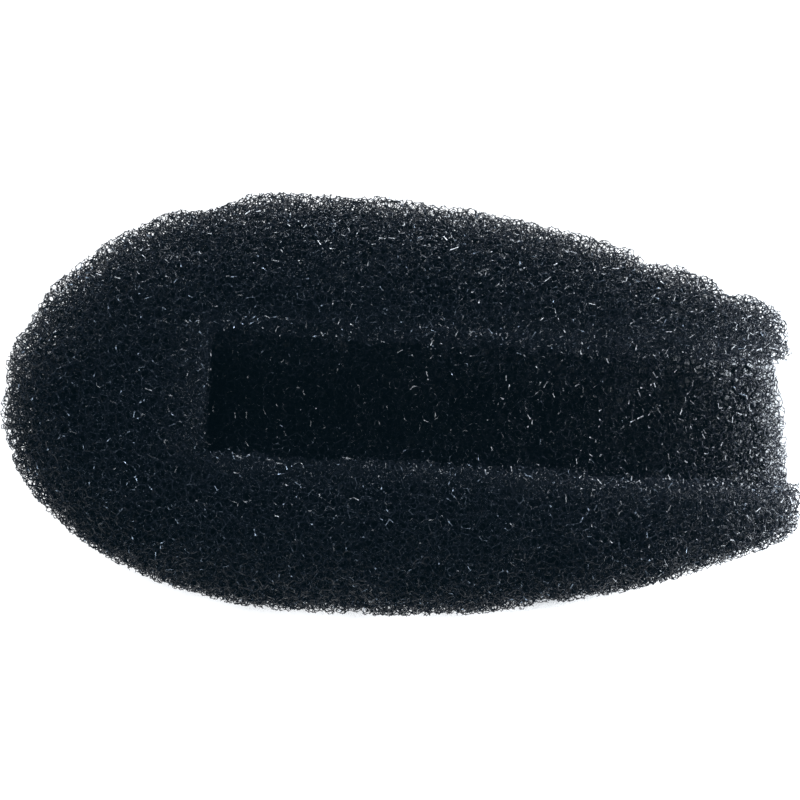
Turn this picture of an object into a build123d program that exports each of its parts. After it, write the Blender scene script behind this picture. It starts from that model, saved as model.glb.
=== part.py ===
"""Open-cell foam filter sponge: an egg-shaped pebble of foam with an intake channel in its face.

Millimetres, +Z up. The sponge lies on its back with the channel facing up. +X runs along
the channel towards its open end. The origin is at the centre of the sponge's box, on the
surface that the sponge rests on.
"""

from build123d import *
import os

# Driving dimensions
LENGTH = 150.0  # blunt nose to the tip of the longer arm
WIDTH = 78.5  # across the belly
THICKNESS = 40.0  # back to channelled face
NOSE_LENGTH = 58.0  # nose to where its ellipse reaches full width
NOSE_SAG = 3.2  # the tip of the nose lies this far off the channel's line, towards -Y
BELLY_LENGTH = 9.6  # stretch of full width behind the nose, on the -Y side only
FULL_FLANK_RADIUS = 188.0  # the -Y side, from the belly to the open end
FULL_FLANK_ANGLE = 26.4  # enough of that arc to reach just past the open end
LEAN_FLANK_RADIUS = 224.0  # the +Y side, from the nose to the open end
LEAN_FLANK_ANGLE = 24.6
SIDE_ROUNDING = 16.5  # outer edges of both faces
END_ROUNDING = 4.0  # outer edges of the cut end
END_SLANT = 7.0  # degrees by which the open end is off square

CHANNEL_WIDTH = 23.8
CHANNEL_DEPTH = 24.0
CHANNEL_START = 38.8  # solid foam between the nose and the channel
CHANNEL_CORNER_RADIUS = 1.2  # upright corners at the channel's closed end

# Places along the length, with zero halfway between the nose and the longer arm
NOSE_TIP_X = -LENGTH / 2
NOSE_END_X = NOSE_TIP_X + NOSE_LENGTH
BELLY_END_X = NOSE_END_X + BELLY_LENGTH
CHANNEL_X = NOSE_TIP_X + CHANNEL_START
HALF_WIDTH = WIDTH / 2
END_HALF_WIDTH = 22.0  # about half the width at the open end
END_EASING = 0.56  # what its rounding takes off the longer arm
END_X = LENGTH / 2 + END_EASING

# The open end leans so that the arm on the -Y side is the longer one.
end_plane = Plane(
    origin=(END_X, -END_HALF_WIDTH, 0),
    x_dir=(0, 0, 1),
    z_dir=Vector(1, 0, 0).rotate(Axis.Z, END_SLANT),
)

with BuildPart() as foam_sponge:
    with BuildSketch(Plane.XY) as outline:
        with BuildLine():
            nose_middle = (NOSE_END_X, -NOSE_SAG)
            EllipticalCenterArc(
                nose_middle, NOSE_LENGTH, HALF_WIDTH + NOSE_SAG, start_angle=90, arc_size=90
            )
            EllipticalCenterArc(
                nose_middle, NOSE_LENGTH, HALF_WIDTH - NOSE_SAG, start_angle=180, arc_size=90
            )
            lean_start = (NOSE_END_X, HALF_WIDTH)
            lean_flank = JernArc(lean_start, (1, 0), LEAN_FLANK_RADIUS, -LEAN_FLANK_ANGLE)
            belly = Line((NOSE_END_X, -HALF_WIDTH), (BELLY_END_X, -HALF_WIDTH))
            full_flank = JernArc(belly @ 1, (1, 0), FULL_FLANK_RADIUS, FULL_FLANK_ANGLE)
            tail = Line(lean_flank @ 1, full_flank @ 1)
        make_face()
    extrude(amount=THICKNESS)

    # Both faces roll over into the sides in one wide rounding from the nose to the end.
    face_edges = foam_sponge.edges().filter_by(Plane.XY)
    side_edges = [e for e in face_edges if e.center().X < (tail @ 0.5).X - 1]
    fillet(side_edges, radius=SIDE_ROUNDING)

    # The tail is cut off at a slight slant, and the cut's own edge is eased.
    split(bisect_by=end_plane, keep=Keep.BOTTOM)
    end_face = foam_sponge.faces().sort_by(Axis.X)[-1]
    fillet(end_face.edges(), radius=END_ROUNDING)

    # The intake channel is closed at the nose and runs out through the cut end.
    with BuildSketch(Plane.XY.offset(THICKNESS)):
        with Locations((CHANNEL_X, 0)):
            channel = Rectangle(LENGTH, CHANNEL_WIDTH, align=(Align.MIN, Align.CENTER))
        closed_corners = channel.vertices().group_by(Axis.X)[0]
        fillet(closed_corners, radius=CHANNEL_CORNER_RADIUS)
    extrude(amount=-CHANNEL_DEPTH, mode=Mode.SUBTRACT)

foam_sponge.part.label = "foam_sponge"
os.makedirs("parts", exist_ok=True)
export_step(foam_sponge.part, "parts/foam_sponge.step")
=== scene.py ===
"""Looks of the filter sponge: a real network of foam struts that fills the CAD solid.

Everything is in metres, in the row frame: +X along the channel towards its open end, +Z up.
"""

import math
from itertools import combinations

import bpy
import numpy as np
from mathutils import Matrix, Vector, noise
from mathutils.bvhtree import BVHTree


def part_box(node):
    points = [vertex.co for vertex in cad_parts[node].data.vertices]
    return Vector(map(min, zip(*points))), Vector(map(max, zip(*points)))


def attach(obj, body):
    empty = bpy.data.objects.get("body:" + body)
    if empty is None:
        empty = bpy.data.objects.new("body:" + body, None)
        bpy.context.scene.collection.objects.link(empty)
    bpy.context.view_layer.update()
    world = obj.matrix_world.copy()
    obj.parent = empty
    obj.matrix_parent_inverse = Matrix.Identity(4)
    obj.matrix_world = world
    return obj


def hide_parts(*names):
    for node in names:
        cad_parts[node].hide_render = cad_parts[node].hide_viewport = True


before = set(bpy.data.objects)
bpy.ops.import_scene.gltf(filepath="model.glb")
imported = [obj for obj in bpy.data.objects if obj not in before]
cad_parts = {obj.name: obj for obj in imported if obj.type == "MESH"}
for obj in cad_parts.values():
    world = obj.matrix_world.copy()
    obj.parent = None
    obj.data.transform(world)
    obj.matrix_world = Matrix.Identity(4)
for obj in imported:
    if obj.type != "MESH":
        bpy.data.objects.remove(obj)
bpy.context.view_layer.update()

NODE = "foam_sponge"
SEED = 11

# Foam
CELL = 0.00185  # size of one cell: the cube root of its volume
DEEP_CELL = 0.0034  # cells of the plainer foam inside
TILE_CELLS = 9  # cells along each side of the repeating block of foam
PACKING_STEPS = 40
PACKING_REACH = 1.1  # cells whose centres are nearer than this push each other apart, in cells
PACKING_PUSH = 0.35  # share of the overlap that one step undoes
ROUNDING_STEPS = 2  # times that the cells are evened out
NEIGHBOURS = 24  # the most faces that a cell may have
CELLS_AT_ONCE = 50
INDEX_BASE = 4096  # more than the cells in the repeating block
TILE_TURN = (0.43, 0.71, 1.13)  # radians, so that no cut face runs along the repeats
NODE_JITTER = 0.03  # in cells

# Struts
STRUT_WAIST = 0.000055  # radius halfway along a strut
STRUT_ROOT = 0.00011  # radius where struts meet
STRUT_SPREAD = (0.8, 1.25)  # from the thinnest strut to the thickest
EVEN_SHARE = 0.47  # radius of a strut without a waist, as a share of waist and root together
DEEP_STRUT = 0.0003  # radius of the struts inside
SHORTEST_STRUT = 0.00012
CUT_KEPT = 0.06  # share of the struts cut by the surface that stay as stubs
STUB_TIP = 1.2  # radius of a stub's cut end, in waists
WAIST_DEPTH = 0.0013  # struts nearer the surface than this get a waist

# Depths
FINE_DEPTH = 0.004  # struts nearer the surface than this are at full detail
FINE_OVERLAP = 0.0008  # the plainer foam starts this much nearer the surface
SHADE_DENSE_OVERLAP = 0.0024  # and this much nearer still along the side towards -Y, where the extra foam darkens that edge as painted shade
SHADE_DENSE_FROM, SHADE_DENSE_TO = -0.008, -0.026  # how far along Y that side's density builds up
SHADE_DENSE_TOP, SHADE_DENSE_FADE = 0.033, 0.008  # it fades out this far above the floor, over this height
SURFACE_LIFT = 0.0003  # cells cut less deeply than this stay whole
WORN_DEPTH = 0.0026  # how much foam is torn off in places
WORN_SIZE = 0.008  # how wide those places are
WORN_REACH = 0.003  # the foam is whole below this depth
MOST_TRIANGLES = 190_000  # in one piece

# Finish of the foam; colours and roughness go with the level of a noise
FOAM_SPECULAR = 0.22
FOAM_COLOURS = ((0.35, (0.0045, 0.0048, 0.0066)), (0.7, (0.0072, 0.0076, 0.0100)))
FOAM_ROUGHNESS = ((0.3, (0.17,) * 3), (0.7, (0.33,) * 3))
COLOUR_GRAIN, ROUGH_GRAIN, BUMP_GRAIN = 900, 2500, 9000  # scales of the noise, per metre
BUMP_STRENGTH, BUMP_HEIGHT = 0.25, 0.000006


def packed_points(rng):
    """Centres of foam cells in a repeating unit block: random points pushed apart like soft balls."""
    count = TILE_CELLS**3
    reach = PACKING_REACH / TILE_CELLS
    points = rng.random((count, 3)).astype(np.float32)
    for _ in range(PACKING_STEPS):
        apart = points[:, None] - points[None]
        apart -= np.round(apart)
        distance = np.sqrt((apart**2).sum(2)) + 1e-9
        push = np.clip(reach - distance, 0, None) / distance
        np.fill_diagonal(push, 0)
        points += PACKING_PUSH * (apart * push[:, :, None]).sum(1)
        points %= 1
    return points.astype(float)


def cell_corners(points):
    """The corners of the cells round the points, as Voronoi cells in a repeating unit block.

    Returns, for each corner of each cell, the cell's index, the three neighbours by their place
    in the cell's list, those neighbours' indices, and the corner's place.
    """
    apart = points[None] - points[:, None]
    apart -= np.round(apart)
    near = np.argsort((apart**2).sum(2), axis=1)[:, 1 : NEIGHBOURS + 1]
    to = np.take_along_axis(apart, near[:, :, None], axis=1)
    half = (to**2).sum(2) / 2
    threes = np.array(list(combinations(range(NEIGHBOURS), 3)))
    found = []
    for start in range(0, len(points), CELLS_AT_ONCE):
        r, h = to[start : start + CELLS_AT_ONCE], half[start : start + CELLS_AT_ONCE]
        a, b, c = (r[:, threes[:, k]] for k in range(3))
        ha, hb, hc = (h[:, threes[:, k], None] for k in range(3))
        bc, ca, ab = np.cross(b, c), np.cross(c, a), np.cross(a, b)
        volume = (a * bc).sum(2, keepdims=True)
        volume[np.abs(volume) < 1e-12] = 1e-12
        corner = (ha * bc + hb * ca + hc * ab) / volume
        beyond = corner @ r.transpose(0, 2, 1) - h[:, None]
        cell, three = np.nonzero((beyond < 1e-9).all(2))
        found.append((cell + start, threes[three], corner[cell, three]))
    cell = np.concatenate([f[0] for f in found])
    local = np.concatenate([f[1] for f in found])
    place = points[cell] + np.concatenate([f[2] for f in found])
    return cell, local, np.take_along_axis(near[cell], local, axis=1), place


def repeating_foam(rng):
    """One repeating unit block of foam: its nodes, and its struts as (node, block step) at each end."""
    points = packed_points(rng)
    for _ in range(ROUNDING_STEPS):
        cell, _, _, place = cell_corners(points)
        count = np.bincount(cell)
        points = np.column_stack([np.bincount(cell, place[:, k]) / count for k in range(3)])
    cell, local, others, place = cell_corners(points)
    around = np.sort(np.column_stack([cell, others]), axis=1)
    key = around[:, 0]  # the four cells that meet at a corner name its node
    for other in range(1, 4):
        key = key * INDEX_BASE + around[:, other]
    _, first, node = np.unique(key, return_index=True, return_inverse=True)
    nodes = place[first]
    step = np.round(place - nodes[node]).astype(int)

    # A strut lies between two corners of a cell that share two neighbours. Three cells meet
    # along it, and the cell of the lowest index keeps it.
    ends, code = [], []
    for i, j in ((0, 1), (0, 2), (1, 2)):
        lowest = (cell < others[:, i]) & (cell < others[:, j])
        ends.append(np.nonzero(lowest)[0])
        low = np.minimum(local[lowest, i], local[lowest, j])
        high = np.maximum(local[lowest, i], local[lowest, j])
        code.append((cell[lowest] * NEIGHBOURS + low) * NEIGHBOURS + high)
    ends, code = np.concatenate(ends), np.concatenate(code)
    order = np.argsort(code, kind="stable")
    ends, code = ends[order], code[order]
    pair = np.nonzero(code[1:] == code[:-1])[0]
    a, b = ends[pair], ends[pair + 1]
    return nodes, np.column_stack([node[a], node[b]]), step[a], step[b]


def turn(angles):
    """The rotation matrix for turns about X, Y and Z."""
    result = np.eye(3)
    for axis, angle in enumerate(angles):
        one = np.eye(3)
        i, j = (axis + 1) % 3, (axis + 2) % 3
        one[i, i] = one[j, j] = math.cos(angle)
        one[j, i] = math.sin(angle)
        one[i, j] = -math.sin(angle)
        result = one @ result
    return result


def spread_foam(rng, tile, cell, low, high):
    """Nodes and struts of foam with cells of that size that covers the box from low to high."""
    nodes, ends, step_a, step_b = tile
    size = TILE_CELLS * cell
    basis = turn(TILE_TURN) * size
    middle = (low + high) / 2
    corners = np.array([[x, y, z] for x in (0, 1) for y in (0, 1) for z in (0, 1)])
    inside = (low + corners * (high - low) - middle) @ np.linalg.inv(basis).T
    first = np.floor(inside.min(0)).astype(int) - 1
    count = np.ceil(inside.max(0)).astype(int) + 1 - first
    blocks = np.stack(np.meshgrid(*[np.arange(n) for n in count], indexing="ij"), -1)
    blocks = blocks.reshape(-1, 3)
    places = (nodes[None] + (blocks + first)[:, None]).reshape(-1, 3) @ basis.T + middle
    places += rng.normal(0, NODE_JITTER * cell, places.shape)

    def index(steps, node):
        block = blocks[:, None] + steps[None]
        known = ((block >= 0) & (block < count)).all(2)
        block = np.clip(block, 0, count - 1)
        at = (block[..., 0] * count[1] + block[..., 1]) * count[2] + block[..., 2]
        return at * len(nodes) + node[None], known

    a, known_a = index(step_a, ends[:, 0])
    b, known_b = index(step_b, ends[:, 1])
    known = known_a & known_b
    pairs = np.column_stack([a[known], b[known]])
    near = ((places > low) & (places < high)).all(1)
    pairs = pairs[near[pairs].all(1)]
    used, pairs = np.unique(pairs, return_inverse=True)
    return places[used], pairs.reshape(-1, 2)


def depth_inside(tree, places):
    """How deep each place lies inside a closed mesh, negative outside it."""
    depth = np.empty(len(places))
    for i, place in enumerate(places):
        place = Vector(place)
        at, normal, _, distance = tree.find_nearest(place)
        outside = (place - at).dot(normal) > 0
        if not outside:
            # Past a sharp edge only one of its two faces may tell that the place is outside
            for at, normal, _, _ in tree.find_nearest_range(place, distance + 1e-6):
                outside = outside or (place - at).dot(normal) > 1e-7
        depth[i] = -distance if outside else distance
        if distance < WORN_REACH:
            depth[i] -= WORN_DEPTH * max(0, noise.noise(place / WORN_SIZE))
    return depth + SURFACE_LIFT


def without_loose_ends(places, pairs, rounds=2):
    """The pairs left once struts that hang by one end are gone."""
    for _ in range(rounds):
        met = np.bincount(pairs.ravel(), minlength=len(places))
        pairs = pairs[(met[pairs] > 1).all(1)]
    return pairs


def fine_foam(rng, tile, tree, low, high):
    """Struts at full detail near the surface: start, end, least depth, and whether they are stubs."""
    places, pairs = spread_foam(rng, tile, CELL, low - CELL, high + CELL)
    depth = depth_inside(tree, places)
    whole = without_loose_ends(places, pairs[(depth[pairs] > 0).all(1)])
    whole = whole[depth[whole].min(1) < FINE_DEPTH]

    met = np.bincount(whole.ravel(), minlength=len(places)) > 0
    crossing = (depth[pairs] > 0).sum(1) == 1
    stub = pairs[crossing & (rng.random(len(pairs)) < CUT_KEPT)]
    swap = depth[stub[:, 0]] < 0
    stub[swap] = stub[swap][:, ::-1]
    stub = stub[met[stub[:, 0]]]
    share = depth[stub[:, 0]] / (depth[stub[:, 0]] - depth[stub[:, 1]])
    cut_at = places[stub[:, 0]] + (places[stub[:, 1]] - places[stub[:, 0]]) * share[:, None]

    start = np.concatenate([places[whole[:, 0]], places[stub[:, 0]]])
    end = np.concatenate([places[whole[:, 1]], cut_at])
    deep = np.concatenate([depth[whole].min(1), depth[stub[:, 0]]])
    cut = np.arange(len(start)) >= len(whole)
    long = np.linalg.norm(end - start, axis=1) > SHORTEST_STRUT
    return start[long], end[long], deep[long], cut[long]


def deep_foam(rng, tile, tree, low, high):
    """Start and end of the plainer struts inside."""
    margin = FINE_DEPTH - FINE_OVERLAP
    least = margin - SHADE_DENSE_OVERLAP
    places, pairs = spread_foam(rng, tile, DEEP_CELL, low + least, high - least)
    # More inner foam towards -Y darkens the see-through at that edge: painted shade under that side.
    shade_dense = np.clip((places[:, 1] - SHADE_DENSE_FROM) / (SHADE_DENSE_TO - SHADE_DENSE_FROM), 0, 1)
    shade_dense *= np.clip((SHADE_DENSE_TOP - places[:, 2]) / SHADE_DENSE_FADE, 0, 1)
    inside = depth_inside(tree, places) > margin - SHADE_DENSE_OVERLAP * shade_dense
    a, b = pairs[inside[pairs].all(1)].T
    long = np.linalg.norm(places[b] - places[a], axis=1) > SHORTEST_STRUT
    return places[a][long], places[b][long]


def strut_prisms(rng, start, end, radii):
    """Vertices and faces of closed three-sided prisms, one a strut, with a ring for each of radii."""
    count, rings, sides = len(start), radii.shape[1], 3
    along = end - start
    along /= np.linalg.norm(along, axis=1, keepdims=True)
    helper = np.where(np.abs(along[:, 2:]) < 0.9, [[0.0, 0.0, 1.0]], [[1.0, 0.0, 0.0]])
    across = np.cross(along, helper)
    across /= np.linalg.norm(across, axis=1, keepdims=True)
    other = np.cross(along, across)
    angle = rng.random(count)[:, None] * 2 * math.pi + np.arange(sides) * 2 * math.pi / sides
    spoke = np.cos(angle)[..., None] * across[:, None] + np.sin(angle)[..., None] * other[:, None]
    t = np.linspace(0, 1, rings)[None, :, None]
    centre = start[:, None] + (end - start)[:, None] * t
    vertices = centre[:, :, None] + spoke[:, None] * radii[:, :, None, None]
    vertices = vertices.reshape(-1, 3)

    quads = []
    for ring in range(rings - 1):
        for side in range(sides):
            after = (side + 1) % sides
            low, high = ring * sides, (ring + 1) * sides
            quads.append((low + side, low + after, high + after, high + side))
    last = (rings - 1) * sides
    caps = [(2, 1, 0), (last, last + 1, last + 2)]
    base = np.arange(count)[:, None, None] * rings * sides
    quads = (base + np.array(quads)[None]).reshape(-1, 4)
    caps = (base + np.array(caps)[None]).reshape(-1, 3)
    return vertices, quads, caps


def mesh_object(name, vertices, quads, triangles, flat):
    """A mesh object from arrays of vertices, quads and triangles, smooth but for the flat quads."""
    mesh = bpy.data.meshes.new(name)
    loops = np.concatenate([quads.ravel(), triangles.ravel()]).astype(np.int32)
    starts = np.concatenate(
        [np.arange(len(quads)) * 4, len(quads) * 4 + np.arange(len(triangles)) * 3]
    )
    mesh.vertices.add(len(vertices))
    mesh.vertices.foreach_set("co", vertices.astype(np.float32).ravel())
    mesh.loops.add(len(loops))
    mesh.loops.foreach_set("vertex_index", loops)
    mesh.polygons.add(len(starts))
    mesh.polygons.foreach_set("loop_start", starts.astype(np.int32))
    mesh.update(calc_edges=True)
    mesh.shade_smooth()
    mesh.polygons.foreach_set("use_smooth", ~np.append(flat, np.zeros(len(triangles), bool)))
    piece = bpy.data.objects.new(name, mesh)
    bpy.context.scene.collection.objects.link(piece)
    return piece


def foam_material():
    """Black polyurethane: slightly glossy skins on the struts, with uneven colour and a fine grain."""
    material = bpy.data.materials.new("black_foam")
    material.use_nodes = True
    tree = material.node_tree
    shader = tree.nodes["Principled BSDF"]
    place = tree.nodes.new("ShaderNodeTexCoord")

    def grain(scale, detail):
        node = tree.nodes.new("ShaderNodeTexNoise")
        node.inputs["Scale"].default_value = scale
        node.inputs["Detail"].default_value = detail
        tree.links.new(place.outputs["Object"], node.inputs["Vector"])
        return node.outputs["Fac"]

    def ramp(fac, *stops):
        node = tree.nodes.new("ShaderNodeValToRGB")
        tree.links.new(fac, node.inputs["Fac"])
        for element, (at, colour) in zip(node.color_ramp.elements, stops):
            element.position = at
            element.color = (*colour, 1)
        return node.outputs["Color"]

    shader.inputs["Specular IOR Level"].default_value = FOAM_SPECULAR
    colour = ramp(grain(COLOUR_GRAIN, 2), *FOAM_COLOURS)
    tree.links.new(colour, shader.inputs["Base Color"])
    rough = ramp(grain(ROUGH_GRAIN, 2), *FOAM_ROUGHNESS)
    tree.links.new(rough, shader.inputs["Roughness"])
    bump = tree.nodes.new("ShaderNodeBump")
    bump.inputs["Strength"].default_value = BUMP_STRENGTH
    bump.inputs["Distance"].default_value = BUMP_HEIGHT
    tree.links.new(grain(BUMP_GRAIN, 3), bump.inputs["Height"])
    tree.links.new(bump.outputs["Normal"], shader.inputs["Normal"])
    return material


def strut_groups(rng):
    """The sponge's struts, in groups of one shape: where they start and end, and their radii."""
    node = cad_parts[NODE].data
    tree = BVHTree.FromPolygons(
        [v.co for v in node.vertices], [tuple(p.vertices) for p in node.polygons]
    )
    low, high = (np.array(v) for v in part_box(NODE))
    tile = repeating_foam(rng)
    start, end, depth, cut = fine_foam(rng, tile, tree, low, high)
    deep_start, deep_end = deep_foam(rng, tile, tree, low, high)

    thick = rng.uniform(*STRUT_SPREAD, len(start))
    waist, root = STRUT_WAIST * thick, STRUT_ROOT * thick
    tip = np.where(cut, waist * STUB_TIP, root)
    even = np.repeat((STRUT_WAIST + STRUT_ROOT) * EVEN_SHARE * thick[:, None], 2, axis=1)
    near = depth < WAIST_DEPTH
    deep = np.full((len(deep_start), 2), DEEP_STRUT)
    return [
        (start[near], end[near], np.column_stack([root, waist, tip])[near]),
        (start[~near], end[~near], even[~near]),
        (deep_start, deep_end, deep),
    ]


def slice_borders(groups):
    """The places along X that part the struts into slices with as many triangles in each."""
    along = np.concatenate([start[:, 0] for start, _, _ in groups])
    triangles = np.concatenate(
        [np.full(len(start), 6 * (radii.shape[1] - 1) + 2) for start, _, radii in groups]
    )
    total = triangles.sum()
    slices = math.ceil(total / MOST_TRIANGLES)
    order = np.argsort(along)
    share = np.cumsum(triangles[order]) / total
    inner = [along[order][np.searchsorted(share, k / slices)] for k in range(1, slices)]
    return [-math.inf, *inner, math.inf]


def make_foam():
    """The sponge, in slices along its length that each stay a workable size."""
    rng = np.random.default_rng(SEED)
    groups = strut_groups(rng)
    borders = slice_borders(groups)
    material = foam_material()
    for number, (first, last) in enumerate(zip(borders, borders[1:]), start=1):
        vertices, quads, caps, flat, offset = [], [], [], [], 0
        for start, end, radii in groups:
            mine = (start[:, 0] >= first) & (start[:, 0] < last)
            made = strut_prisms(rng, start[mine], end[mine], radii[mine])
            vertices.append(made[0])
            quads.append(made[1] + offset)
            caps.append(made[2] + offset)
            flat.append(np.full(len(made[1]), radii.shape[1] > 2))
            offset += len(made[0])
        arrays = (np.concatenate(each) for each in (vertices, quads, caps, flat))
        piece = mesh_object(f"foam_{number:02d}", *arrays)
        piece.data.materials.append(material)
        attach(piece, "root")
        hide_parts(NODE)


# Floor, whose glow fades out under the sponge as a painted contact shadow
FLOOR_SIZE = 6
FLOOR_GREY = 0.15  # its own colour, which shows beneath the sponge where the glow is withdrawn as painted shade
FLOOR_ROUGHNESS, FLOOR_SPECULAR = 0.9, 0.1
FLOOR_GLOW = 1.02  # where it lies open
SHADE_REACH = 0.01  # how far away something may darken the floor's glow, as painted shade
SHADE_SAMPLES = 16
OPEN_SHARE = (0.74, 0.88)  # share of open sky from which the glow starts, and at which it is full; less open floor gets painted shade

# Light
SKY_COLOUR = (0.78, 1.0, 1.28)
FILL_COLOUR = (0.92, 1.0, 1.08)
BRIGHT_SKY = (0, 0.5, 1)  # towards the sky's brightest part
SKY_SPAN = (0.3, 1.0)  # cosines to that part from which the sky brightens, and at which it peaks
SKY_LIGHT = (0.027, 0.36)  # its strength before and at the peak
LAMPS = (  # name, place, size, watts, colour
    ("key", (-0.12, 0.62, 0.7), 0.22, 6.6, SKY_COLOUR),
    ("near_key", (0.1, -0.47, 0.57), 0.04, 3.3, SKY_COLOUR),
    ("tail_fill", (0.12, 0.0, 0.034), 0.06, 0.42, FILL_COLOUR),
    ("far_fill", (0.0, 0.3, 0.03), 0.14, 3.1, FILL_COLOUR),
)

# Camera
CAMERA_TURN = 3.1  # degrees about the upright axis
CAMERA_HEIGHT = 83.5  # degrees above the floor
CAMERA_DISTANCE = 0.62
FRAME_WIDTH = 0.1509  # of the view, at the target
SENSOR = 36.0  # millimetres
CLIP_START = 0.01
TARGET = Vector((-0.0004, 0.0013, 0.02))
HAZE = (0.0010, 0.0038, 0.0058)  # what a black place shows, as a share of white


def set_view():
    """Plain colours, with the black level lifted as by haze in a lens that faces a white ground."""
    view = bpy.context.scene.view_settings
    view.view_transform = "Standard"
    view.use_curve_mapping = True
    view.curve_mapping.black_level = [-level for level in HAZE]
    view.curve_mapping.update()


def make_camera():
    """A camera nearly straight above, a little towards -Y and turned a few degrees."""
    camera = bpy.data.objects.new("camera", bpy.data.cameras.new("camera"))
    bpy.context.scene.collection.objects.link(camera)
    turned, height = math.radians(CAMERA_TURN), math.radians(CAMERA_HEIGHT)
    back = Vector((math.sin(turned), -math.cos(turned), 0)) * math.cos(height)
    back.z = math.sin(height)
    camera.location = TARGET + back * CAMERA_DISTANCE
    camera.rotation_euler = (-back).to_track_quat("-Z", "Y").to_euler()
    camera.data.sensor_width = SENSOR
    camera.data.lens = SENSOR * CAMERA_DISTANCE / FRAME_WIDTH
    camera.data.clip_start = CLIP_START
    bpy.context.scene.camera = camera


def spread_range(tree, value, seen, given):
    """A value moved from the range that it is seen in to the range given."""
    node = tree.nodes.new("ShaderNodeMapRange")
    node.inputs["From Min"].default_value, node.inputs["From Max"].default_value = seen
    node.inputs["To Min"].default_value, node.inputs["To Max"].default_value = given
    tree.links.new(value, node.inputs["Value"])
    return node.outputs["Result"]


def make_floor():
    """A floor that glows white where it lies open; the glow fades out under and near the sponge, a
    painted contact shadow.
    """
    bpy.ops.mesh.primitive_plane_add(size=FLOOR_SIZE)
    floor = bpy.context.object
    floor.name = "floor"
    material = bpy.data.materials.new("floor")
    material.use_nodes = True
    tree = material.node_tree
    shader = tree.nodes["Principled BSDF"]
    shader.inputs["Base Color"].default_value = (FLOOR_GREY, FLOOR_GREY, FLOOR_GREY, 1)
    shader.inputs["Roughness"].default_value = FLOOR_ROUGHNESS
    shader.inputs["Specular IOR Level"].default_value = FLOOR_SPECULAR
    shader.inputs["Emission Color"].default_value = (1, 1, 1, 1)
    # Ambient occlusion takes the glow away under and near the sponge: painted contact shadow.
    open_sky = tree.nodes.new("ShaderNodeAmbientOcclusion")
    open_sky.samples = SHADE_SAMPLES
    open_sky.inputs["Distance"].default_value = SHADE_REACH
    glow = spread_range(tree, open_sky.outputs["AO"], OPEN_SHARE, (0, FLOOR_GLOW))
    tree.links.new(glow, shader.inputs["Emission Strength"])
    floor.data.materials.append(material)


def make_light():
    """A pale sky that is brightest overhead and beyond the far side, two keys and two fills."""
    world = bpy.data.worlds.new("sky")
    bpy.context.scene.world = world
    world.use_nodes = True
    tree = world.node_tree
    place = tree.nodes.new("ShaderNodeTexCoord")
    along = tree.nodes.new("ShaderNodeVectorMath")
    along.operation = "DOT_PRODUCT"
    along.inputs[1].default_value = Vector(BRIGHT_SKY).normalized()
    tree.links.new(place.outputs["Generated"], along.inputs[0])
    light = spread_range(tree, along.outputs["Value"], SKY_SPAN, SKY_LIGHT)
    sky = tree.nodes["Background"]
    sky.inputs["Color"].default_value = (*SKY_COLOUR, 1)
    tree.links.new(light, sky.inputs["Strength"])

    for name, place, size, power, colour in LAMPS:
        lamp = bpy.data.objects.new(name, bpy.data.lights.new(name, "AREA"))
        bpy.context.scene.collection.objects.link(lamp)
        lamp.visible_camera = False
        lamp.data.color = colour
        lamp.data.shape = "DISK"
        lamp.data.size = size
        lamp.data.energy = power
        lamp.location = place
        lamp.rotation_euler = (lamp.location - TARGET).to_track_quat("Z", "Y").to_euler()


set_view()
make_camera()
make_floor()
make_light()
make_foam()
